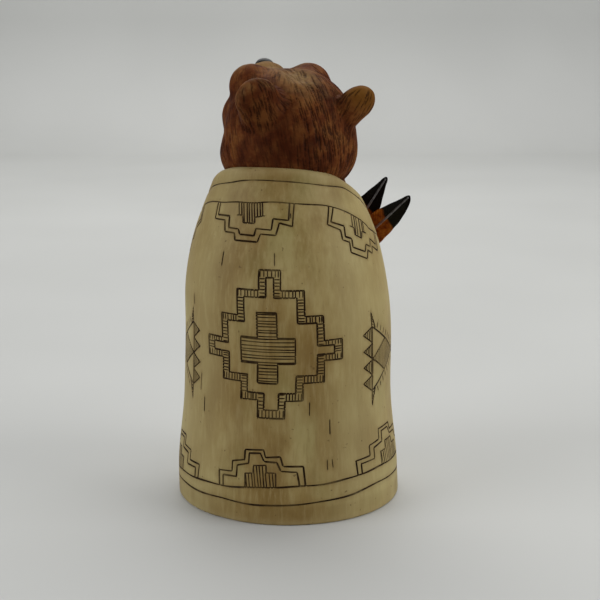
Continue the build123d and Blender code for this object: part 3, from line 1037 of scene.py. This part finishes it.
def skin(field, low, high, step):
    """Vertices and four-sided faces over a form's surface inside a box, about a step apart: a vertex in each cell of
    a grid that the surface crosses, and a face round each crossed edge."""
    axes = [np.arange(a, b + step, step) for a, b in zip(low, high)]
    grid = np.stack(np.meshgrid(*axes, indexing="ij"), -1).reshape(-1, 3)
    shape = [len(a) for a in axes]
    value = np.concatenate([field(part) for part in np.array_split(grid, 8)]).reshape(shape)
    inside = value < 0
    corners = [np.array(c) for c in np.ndindex(2, 2, 2)]
    cut = lambda c: inside[c[0]:shape[0] - 1 + c[0], c[1]:shape[1] - 1 + c[1], c[2]:shape[2] - 1 + c[2]]
    filled = sum(cut(c).astype(np.int8) for c in corners)
    cells = np.stack(np.nonzero((filled > 0) & (filled < 8)), 1)
    number = np.full([n - 1 for n in shape], -1)
    number[tuple(cells.T)] = np.arange(len(cells))
    total, count = np.zeros((len(cells), 3)), np.zeros(len(cells))
    faces = []
    for axis in range(3):
        ahead = np.eye(3, dtype=int)[axis]
        for corner in corners:
            if corner[axis]:
                continue
            a, b = value[tuple((cells + corner).T)], value[tuple((cells + corner + ahead).T)]
            crossed = (a < 0) != (b < 0)
            t = np.where(crossed, a / np.where(crossed, a - b, 1), 0)
            total += (corner + t[:, None] * ahead) * crossed[:, None]
            count += crossed
        across = [(axis + 1) % 3, (axis + 2) % 3]
        one, two = np.eye(3, dtype=int)[across]
        at = np.stack(np.nonzero(np.diff(inside, axis=axis)), 1)
        at = at[((at[:, across] > 0) & (at[:, across] < np.array(shape)[across] - 1)).all(1)]
        quad = np.stack([number[tuple((at - o).T)] for o in (one + two, two, 0 * one, one)], 1)
        leaving = inside[tuple(at.T)]
        quad[~leaving] = quad[~leaving][:, ::-1]
        faces.append(quad)
    verts = np.array(low) + (cells + total / count[:, None]) * step
    return settle(field, verts, 2), np.concatenate(faces)


def comb(field, verts, flow, seed, count, length, width, depth):
    """Depth at each vertex of short hair strokes scattered over a form along a flow."""
    dice = np.random.RandomState(seed)
    p = verts[dice.randint(0, len(verts), count)]
    steps = int(length / STROKE_STEP)
    size = dice.uniform(0.45, 1.0, count)
    samples, half, deep = [], [], []
    for i in range(steps):
        t = (i + 0.5) / steps
        body = np.sin(np.pi * min(1.0, t * 1.15)) ** 0.6 if t < 0.87 else 0.25
        samples.append(p)
        half.append(width / 2 * (0.45 + 0.55 * body) * (0.7 + 0.3 * size))
        deep.append(depth * body * size)
        normal, ahead = outward(field, p), flow(p)
        ahead = ahead - normal * (ahead * normal).sum(1)[:, None]
        ahead /= np.maximum(np.linalg.norm(ahead, axis=1), 1e-6)[:, None]
        p = settle(field, p + ahead * STROKE_STEP * (0.5 + size)[:, None], 1)
    samples, half, deep = np.concatenate(samples), np.concatenate(half), np.concatenate(deep)
    index, gap = nearest(samples, verts)
    return cut_depth(gap, half[index], deep[index])


def mixed_noise(points, size, seed):
    return 0.65 * noise_at(points, size, seed) + 0.35 * noise_at(points, size * 0.45, seed + 7)


def wander(points, size, *seeds):
    """Three noises as a direction."""
    return np.stack([noise_at(points, size, seed) for seed in seeds], 1)


def add_fur(name, nodes, verts, normal, faces, relief, **tones):
    """A furred piece whose relief of hair is cut into the form."""
    add_piece(name, "fur_resin", nodes, fur_material(), verts + normal * relief[:, None], faces, **tones)


def centre_of(node):
    low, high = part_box(node)
    return np.array((low + high) / 2) / MM


def corners_of(node, room):
    """The corners of a CAD node's box, with room round it."""
    low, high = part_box(node)
    return np.array(low) / MM - room, np.array(high) / MM + room


def islands(node):
    """The places of the vertices of each solid in a CAD node."""
    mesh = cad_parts[node].data
    places = np.array([v.co for v in mesh.vertices]) / MM
    keys = [tuple(p) for p in np.round(places, 4)]
    parent = {}

    def root(key):
        while parent.setdefault(key, key) != key:
            parent[key] = parent[parent[key]]
            key = parent[key]
        return key

    for edge in mesh.edges:
        one, other = (root(keys[i]) for i in edge.vertices)
        parent[one] = other
    groups = {}
    for key in keys:
        groups.setdefault(root(key), set()).add(key)
    return [np.array(sorted(group)) for group in groups.values()]


def axis_of(places):
    """The two ends of a long solid's axis, the thicker end first."""
    middle = places.mean(0)
    along = np.linalg.svd(places - middle)[2][0]
    run = (places - middle) @ along
    ends = [middle + along * run.min(), middle + along * run.max()]
    spread = []
    for end in (run < run.min() + 0.2 * np.ptp(run), run > run.max() - 0.2 * np.ptp(run)):
        off = places[end] - middle
        spread.append(np.linalg.norm(off - np.outer(off @ along, along), axis=1).max())
    return ends if spread[0] > spread[1] else ends[::-1]


# ---------------------------------------------------------------- the head

HEAD_TURN, HEAD_TILT = math.radians(34), math.radians(38)
HEAD_FOOT = 77.5  # where the head ends, hidden in the collar
EAR_REACH = 10.5
AHEAD = np.array([math.cos(HEAD_TILT) * math.sin(HEAD_TURN), -math.cos(HEAD_TILT) * math.cos(HEAD_TURN),
                  math.sin(HEAD_TILT)])
CROWN = np.array([-math.sin(HEAD_TILT) * math.sin(HEAD_TURN), math.sin(HEAD_TILT) * math.cos(HEAD_TURN),
                  math.cos(HEAD_TILT)])
SIDE = np.cross(CROWN, AHEAD)  # the bear's left
HEAD_AXES = np.array([AHEAD, SIDE, CROWN])
EYE_LINE = (centre_of("left_eye") + centre_of("right_eye")) / 2
HEAD_CENTRE = EYE_LINE - AHEAD * 15.0 - CROWN * 2.6


def in_head(ahead, side, crown):
    """A place from millimetres ahead, to the bear's left and out of the crown, from the middle of the head."""
    return HEAD_CENTRE + AHEAD * ahead + SIDE * side + CROWN * crown


def of_head(p):
    """The other way round: how far places lie ahead, to the bear's left and out of the crown."""
    return ((p - HEAD_CENTRE) @ HEAD_AXES.T).T


def head_field(p):
    """The head, ruff and muzzle, with brows, cheeks, eye sockets and the line of the mouth."""
    d = ellipsoid(p, HEAD_CENTRE, (15.0, 16.0, 13.4), HEAD_AXES)
    d = melt(d, ellipsoid(p, (-0.1, 0.2, 86.6), (16.8, 14.3, 11.0)), 3.5)
    d = melt(d, taper(p, in_head(8, 0, -0.6), in_head(17.0, 0, -0.6), 7.4, 4.9), 3.0)
    d = melt(d, ellipsoid(p, in_head(15.4, 0, -4.2), (5.2, 4.3, 3.2), HEAD_AXES), 0.7)
    for side, brow in ((1, 7.9), (-1, 7.6)):
        d = melt(d, ellipsoid(p, in_head(9.8, brow * side, 3.8), (5.9, 5.6, 5.6), HEAD_AXES), 1.8)
        d = melt(d, ellipsoid(p, in_head(8.0, 7.3 * side, -4.2), (6.9, 6.5, 6.6), HEAD_AXES), 2.2)
        d = melt(d, ellipsoid(p, in_head(18.0, 2.5 * side, -0.2), (3.4, 2.9, 3.1), HEAD_AXES), 0.8)
        d = scoop(d, ellipsoid(p, in_head(15.6, 6.4 * side, 2.5), (2.6, 2.2, 1.9), HEAD_AXES), 0.8)
    ahead, _, crown = of_head(p)
    behind = 21.0 - ahead
    lips = np.abs(crown + 1.9 + 0.30 * behind - 0.02 * behind**2) - 0.2
    d = scoop(d, np.maximum.reduce([lips, -(d + 0.5), behind - 6.8]), 0.2)
    d = scoop(d, taper(p, in_head(15, 0.4, 11.0), in_head(4, 0.4, 15.6), 3.6, 3.6), 2.0)
    return scoop(d, taper(p, in_head(21.6, 0, 0.3), in_head(21.3, 0, -1.8), 0.3, 0.3), 0.25)


def fur_flow(p):
    """Hair lies from the nose back over the crown and down."""
    out = (p - HEAD_CENTRE) * (1, 1, 0)
    out /= np.maximum(np.linalg.norm(out, axis=1), 1.0)[:, None]
    return -AHEAD * 0.75 + np.array((0, 0, -1.0)) + 0.25 * out + 0.55 * wander(p, 9.0, 31.0, 47.0, 63.0)


def head_tones(verts):
    """How tan and how dark the paint is at each vertex of the head."""
    ahead, side, crown = of_head(verts)
    speckle = mixed_noise(verts, 3.0, 12.0)
    top = np.exp(-((ahead - 4.0) / 7.0) ** 2 - ((side - 0.8) / 5.0) ** 2) * (crown > 0)
    muzzle = smooth_step(11.5, 15.0, ahead) * 0.9
    tan = np.clip(1.2 * np.maximum(top, muzzle) + 0.35 * speckle - 0.06, 0, 1)
    nape = np.exp(-((verts[:, 0] + 1.0) / 8.5) ** 2 - ((verts[:, 2] - 89.5) / 6.0) ** 2) * (verts[:, 1] > 0)
    dark = np.clip(nape + 0.35 * speckle, 0, 1)
    return tan, dark


def make_head():
    low, high = corners_of("head", room=1.3)
    low[2] = HEAD_FOOT
    verts, faces = skin(head_field, low, high, step=0.23)
    furred = 1 - smooth_step(15.5, 18.5, of_head(verts)[0])
    brushed = 0.35 + 0.65 * smooth_step(-0.35, 0.3, noise_at(verts, 11.0, 8.0) - 0.02 * verts[:, 0])
    groove = comb(head_field, verts, fur_flow, seed=3, count=2300, length=3.4, width=0.46, depth=0.30)
    groove = groove * furred * brushed
    tuft = 0.14 * mixed_noise(verts * (1, 1, 0.6), 3.0, 4.0) * furred
    tan, dark = head_tones(verts)
    add_fur("bear_head", ["head"], verts, outward(head_field, verts), faces, tuft - groove,
            groove=groove / 0.12 * (1 - 0.6 * tan), tan=tan, dark=dark, raised=smooth_step(-0.02, 0.14, tuft))


def make_ear(name, side):
    """A thick round ear, hollow in front, with a skirt that runs down on to the head."""
    middle = centre_of(name + "_ear")
    splay = math.radians(28) * side
    up = CROWN * math.cos(splay) + SIDE * math.sin(splay)
    across = SIDE * math.cos(splay) - CROWN * math.sin(splay)
    axes = np.array([AHEAD, across, up])

    def field(p):
        ear = ellipsoid(p, middle + up * 0.1, (3.3, 4.8 + 0.3 * side, 5.5 + 0.2 * side), axes)
        ear = melt(ear, ellipsoid(p, middle - up * 3.2 - AHEAD * 0.6, (3.2, 3.9 + 0.7 * side, 3.8), axes), 1.4)
        ear = scoop(ear, ellipsoid(p, middle + AHEAD * 3.6 + up * 0.8, (2.8, 3.4, 4.1), axes), 1.0)
        whole = melt(ear, head_field(p) + 0.22, 2.9 + 1.1 * side)
        return np.maximum(whole, np.linalg.norm(p - middle, axis=1) - EAR_REACH)

    verts, faces = skin(field, middle - EAR_REACH - 0.3, middle + EAR_REACH + 0.3, step=0.24)
    ahead, wide, high = ((verts - middle) @ axes.T).T
    flow = lambda p: -up - 0.25 * AHEAD + 0.3 * wander(p, 5.0, 3.0, 13.0, 23.0)
    groove = comb(field, verts, flow, seed=5, count=470, length=2.8, width=0.46, depth=0.26)
    tuft = 0.10 * mixed_noise(verts, 2.4, 8.0)
    rim = smooth_step(3.9, 5.2, np.hypot(wide, high * 0.92)) * smooth_step(-1.0, 3.0, high)
    hollow = smooth_step(0.5, 2.0, ahead) * smooth_step(4.6, 3.2, np.hypot(wide, high - 0.8))
    tan, dark = head_tones(verts)
    tan = np.maximum(tan * 0.3, rim * (0.35 - 0.15 * side + 0.5 * mixed_noise(verts, 1.6, 2.0)))
    dark = np.maximum(hollow, (0.5 if side > 0 else 0.15) + 0.5 * dark - 0.45 * rim)
    amber = (0.0 if side > 0 else 0.8) * smooth_step(-1.5, 3.5, high)
    add_fur(name + "_ear_fur", [name + "_ear"], verts, outward(field, verts), faces, tuft - groove,
            groove=groove / 0.15, amber=amber, tan=tan, dark=dark, raised=smooth_step(-0.02, 0.1, tuft))


# ---------------------------------------------------------------- chest, paws, feet and claws


def chest_inset(p):
    """How far the furry chest lies inside the blanket's outer surface: it swells in the open throat, and draws in
    towards the chin."""
    middle = np.exp(-((p[:, 0] - 1.0) / 8.5) ** 2) * smooth_step(44, 60, p[:, 2])
    return 2.5 - 1.5 * middle + 8.0 * smooth_step(77, 93, p[:, 2])


def chest_field(p):
    z = np.clip(p[:, 2], 2, 84)
    round_off = np.hypot((p[:, 0] - shift(z)) / half_width(z), p[:, 1] / half_depth(z))
    body = (round_off - 1) * half_depth(z) + chest_inset(p)
    whole = melt(body, head_field(p) + 0.25, 0.2 + 4.0 * smooth_step(-6.0, -12.0, p[:, 1]))
    walls = [43.0 - p[:, 2], p[:, 2] - 93.0, p[:, 1] + 5.0, np.abs(p[:, 0] - 1.0) - 17.0]
    return np.maximum.reduce([whole, *walls])


def furry(name, nodes, field, low, high, flow, step, seed, **strokes):
    """A furred piece over a form, with painted light on its upward faces and painted shade on its downward ones."""
    verts, faces = skin(field, low, high, step)
    normal = outward(field, verts)
    groove = comb(field, verts, flow, seed, **strokes)
    tuft = 0.12 * mixed_noise(verts * (1, 1, 0.6), 2.4, seed)
    speckle = mixed_noise(verts, 3.0, seed + 2.0)
    # tan rises on faces that look up, as painted light, and dark on faces that look down, as painted shade, over a
    # speckle of paint.
    add_fur(name, nodes, verts, normal, faces, tuft - groove, groove=groove / 0.2,
            tan=0.30 * speckle + 0.25 * smooth_step(0.2, 1.0, normal[:, 2]),
            dark=0.4 * speckle + 0.6 * smooth_step(0.2, -0.8, normal[:, 2]), raised=smooth_step(-0.02, 0.1, tuft))


def make_chest():
    flow = lambda p: np.array((0, 0, -1.0)) + 0.4 * wander(p, 7.0, 2.0, 9.0, 17.0)
    low, high = np.array((-16.5, -27.0, 42.5)), np.array((18.5, -4.5, 93.5))
    furry("chest_fur", [], chest_field, low, high, flow, step=0.3, seed=9, count=1700, length=3.6, width=0.55,
          depth=0.28)


PALM, FOOT = (10.0, 9.4, 8.0), (17.0, 12.4, 8.4)
# The middle of each forepaw and the inner end of its forearm.
FOREPAWS = {"right": ((-6.2, -26.0, 53.0), (-10.0, -14.0, 61.0)), "left": ((3.6, -26.6, 46.6), (6.5, -14.5, 60.0))}


def with_toes(d, p, middle, axes, reach, pitch, drop, radii, soft):
    """A form with four rounded toes in a row, the outer ones set back. drop is along the last axis."""
    for across in (np.arange(4) - 1.5) * pitch:
        place = middle + axes[0] * (reach - 0.09 * across * across) + axes[1] * across + axes[2] * drop
        d = melt(d, ellipsoid(p, place, radii, axes), soft)
    return d


def make_forepaw(name):
    middle, elbow = (np.array(p) for p in FOREPAWS[name])
    along = unit((middle - elbow) * (1, 0, 1))
    out = np.array((0.0, -1.0, 0.0))
    axes = np.array([along, np.cross(out, along), out])

    def field(p):
        d = block(p, middle - out * 0.3, PALM, 3.7, axes)
        d = melt(d, taper(p, elbow, middle, 4.6, 4.0), 2.0)
        return with_toes(d, p, middle, axes, reach=PALM[0] / 2 - 0.9, pitch=2.5, drop=1.1, radii=(2.5, 1.55, 1.9),
                         soft=0.45)

    low, high = corners_of(name + "_paw", room=1.6)
    flow = lambda p: along - 0.3 * out + 0.3 * wander(p, 4.0, 4.0, 14.0, 24.0)
    furry(name + "_paw_fur", [name + "_paw"], field, low, high, flow, step=0.22, seed=6, count=520, length=2.4,
          width=0.42, depth=0.22)


def make_foot(name, side):
    ahead = unit((0.12 * side, -1, 0))
    up = np.array((0.0, 0.0, 1.0))
    axes = np.array([ahead, np.cross(up, ahead), up])
    middle = np.array((9.6 * side, -23.6, 3.0))

    def field(p):
        d = block(p, middle, FOOT, 3.9, axes)
        d = with_toes(d, p, middle, axes, reach=FOOT[0] / 2 - 1.5, pitch=3.0, drop=-0.5, radii=(3.0, 1.75, 2.3),
                      soft=0.5)
        return np.maximum(d, 0.05 - p[:, 2])

    low, high = corners_of(name + "_foot", room=1.2)
    low[2] = -0.4
    flow = lambda p: ahead - 0.4 * up + 0.3 * wander(p, 4.0, 5.0, 15.0, 25.0)
    furry(name + "_foot_fur", [name + "_foot"], field, low, high, flow, step=0.24, seed=7, count=620, length=2.4,
          width=0.44, depth=0.22)


def oval(one, first, two, second):
    """Twelve places round an oval with these two directions and half widths."""
    angles = np.arange(12) * math.pi / 6
    return np.outer(np.cos(angles), one) * first + np.outer(np.sin(angles), two) * second


PAW_DROOP, FOOT_DROOP = np.array((0.0, 0.9, -0.6)), np.array((0.0, -0.2, -1.0))


def claw_rings(base, tip, droop):
    """A bent horn that starts a little behind its base and runs to its point, as rings of vertices."""
    along = tip - base
    side = unit(np.cross(along, droop))
    rise = unit(np.cross(side, along))
    rings = []
    for t in np.linspace(0, 1, 12):
        middle = base - along * 0.15 + along * 1.15 * t + droop * 0.55 * t * t - droop * 0.12 * math.sin(math.pi * t)
        radius = 0.85 * (1 - t) ** 0.62 + 0.05
        rings.append(middle + oval(side, radius * 0.82, rise, radius))
    return np.array(rings)


def closed_rings(rings):
    """Vertices and triangles of a tube through rings, closed at both ends."""
    count, sides = rings.shape[:2]
    verts = np.concatenate([rings.reshape(-1, 3), [rings[0].mean(0)], [rings[-1].mean(0)]])
    j, low, last = np.arange(sides), count * sides, (count - 1) * sides
    k = (j + 1) % sides
    walls = [np.stack([j, k, k + sides, j, k + sides, j + sides], 1) + i * sides for i in range(count - 1)]
    caps = np.stack([np.full(sides, low), k, j, np.full(sides, low + 1), last + j, last + k], 1)
    return verts, np.concatenate([*walls, caps]).reshape(-1, 3)


def make_claws(node, droop):
    claws = [closed_rings(claw_rings(*axis_of(places), droop)) for places in islands(node)]
    verts = np.concatenate([claw[0] for claw in claws])
    faces = np.concatenate([claw[1] + k * len(claw[0]) for k, claw in enumerate(claws)])
    add_piece(node + "_horn", "claw_horn", [node], plain_material("claw_horn_paint"), verts, faces)


def make_nose():
    middle = centre_of("nose")

    def field(p):
        d = ellipsoid(p, middle - CROWN * 0.2 - SIDE * 0.3, (2.2, 2.6, 2.0), HEAD_AXES)
        for side in (1, -1):
            hole = middle + AHEAD * 2.0 + SIDE * 1.5 * side - CROWN * 0.2
            d = scoop(d, ellipsoid(p, hole, (1.2, 0.85, 0.6), HEAD_AXES), 0.5)
        return scoop(d, taper(p, middle + AHEAD * 2.6, middle + AHEAD * 2.2 - CROWN * 2.0, 0.25, 0.3), 0.4)

    add_piece("bear_nose", "black_gloss", ["nose"], plain_material("nose_gloss"),
              *skin(field, middle - 4.2, middle + 4.2, step=0.16))


EYE_RADIUS = 1.62


def make_eye(name, side):
    middle = centre_of(name + "_eye")
    verts, faces = skin(lambda p: ellipsoid(p, middle, (EYE_RADIUS,) * 3), middle - 2, middle + 2, step=0.16)
    gaze = unit(AHEAD * 0.75 + SIDE * 0.6 * side + CROWN * 0.15)
    towards = (verts - middle) @ gaze / EYE_RADIUS
    add_piece(name + "_eye_ball", "eye_glass", [name + "_eye"], eye_material(), verts, faces,
              iris=smooth_step(0.62, 0.72, towards), pupil=smooth_step(0.86, 0.90, towards))


# ---------------------------------------------------------------- feathers

# Half width of a vane at shares of its length, and that of the lower vane's outer half.
VANE = ([0.0, 0.1, 0.27, 0.38, 0.55, 0.70, 0.80, 0.87, 0.94, 0.985, 1.0],
        [0.5, 0.6, 0.95, 2.5, 3.7, 3.4, 2.5, 1.75, 1.0, 0.6, 0.3])
OUTER_HALF = ([0.0, 0.1, 0.27, 0.38, 0.50, 0.62, 0.72, 0.82, 0.90, 0.95, 0.985, 1.0],
              [0.5, 0.6, 1.0, 2.6, 3.6, 3.65, 3.4, 2.95, 2.2, 1.6, 0.85, 0.3])
ROOT_TO_TIP = 1 / 0.96
BLACK_FROM = {"upper": 0.703, "lower": 0.738}  # shares of the length
BARB_PITCH, BARB_DEPTH = 0.62, 0.075


def make_vane(name, root, length, along, across, face):
    """A flat vane, bowed across, with barbs cut into it."""
    half, outer = smooth_curve(*VANE), smooth_curve(*(VANE if name == "upper" else OUTER_HALF))
    rows, columns = 170, 31
    s, c = (g.ravel() for g in np.meshgrid(np.linspace(0.2, 1.0, rows), np.linspace(-1, 1, columns), indexing="ij"))
    width = np.where(c * across[0] < 0, outer(s), half(s)) * (1 - 0.012 * np.sin(s * 60 + c * 1.5))
    bow = 0.28 * (1 - c * c) - 0.12
    barbs = np.sin((s * length - 0.9 * np.abs(c * width)) * 2 * math.pi / BARB_PITCH)
    barbs = BARB_DEPTH * barbs * smooth_step(0.12, 0.3, np.abs(c))
    thick = 0.15 + 0.10 * (1 - c**2)
    edge_fade = smooth_step(1.0, 0.97, s)
    layers = []
    for sign in (1, -1):
        lift = bow + sign * thick * (0.4 + 0.6 * edge_fade) + sign * barbs * edge_fade
        layers.append(root + np.outer(s * length, along) + np.outer(c * width, across) + np.outer(lift, face))
    number = np.arange(rows * columns).reshape(rows, columns)
    top = np.stack([number[:-1, :-1], number[1:, :-1], number[1:, 1:], number[:-1, 1:]], -1).reshape(-1, 4)
    rim = np.concatenate([number[0, :], number[1:, -1], number[-1, -2::-1], number[-2:0:-1, 0]])
    follow = np.roll(rim, -1)
    sides = np.stack([rim, follow, follow + number.size, rim + number.size], 1)
    faces = np.concatenate([top, top[:, ::-1] + number.size, sides])
    edge = BLACK_FROM[name] + math.copysign(0.018, across[0]) * c + 0.014 * noise_at(layers[0], 2.2, 6.0)
    black, near_root = smooth_step(-0.012, 0.012, s - edge), smooth_step(0.5, 0.25, s)
    add_piece(name + "_vane", "feather_gloss", [name + "_feather"], feather_material(), np.concatenate(layers), faces,
              black=np.tile(black, 2), barb=np.tile(0.5 - barbs * 6, 2), root=np.tile(near_root, 2))


def quill_ends(name):
    """The lower and the upper end of a quill's axis."""
    return sorted(axis_of(islands(name + "_quill")[0]), key=lambda p: p[2])


def make_feather(name, other):
    """A vane with its quill standing proud along its middle. Its face is square to the plane in which both quills
    lie, and looks to the front."""
    (root, end), (low, high) = quill_ends(name), quill_ends(other)
    run = (end - root) * ROOT_TO_TIP
    length, along = float(np.linalg.norm(run)), unit(run)
    face = unit(np.cross(along, high - low))
    face = face if face[1] < 0 else -face
    across = np.cross(face, along)
    make_vane(name, root, length, along, across, face)
    rings = []
    for t in np.linspace(0.0, 0.985, 60):
        radius = 0.60 - 0.33 * t
        rings.append(root + along * t * length + face * 0.09 + oval(across, radius * 0.95, face, radius * 1.35))
    verts, faces = closed_rings(np.array(rings))
    add_piece(name + "_shaft", "quill_grey", [name + "_quill"], quill_material(), verts, faces,
              black=smooth_step(0.66, 0.78, (verts - root) @ along / length))


# ---------------------------------------------------------------- the scene

make_camera()
make_stage()
light_scene()

make_blanket()
make_head()
make_chest()
for name, side in (("left", 1), ("right", -1)):
    make_ear(name, side)
    make_eye(name, side)
    make_forepaw(name)
    make_foot(name, side)
    make_claws(name + "_paw_claws", PAW_DROOP)
    make_claws(name + "_foot_claws", FOOT_DROOP)
make_nose()
make_feather("upper", "lower")
make_feather("lower", "upper")
dress("torso", fur_material())
dress("neck_peg", plain_material("peg_beech"))
dress("felt_pad", felt_material())

bpy.context.scene.view_settings.view_transform = "Standard"
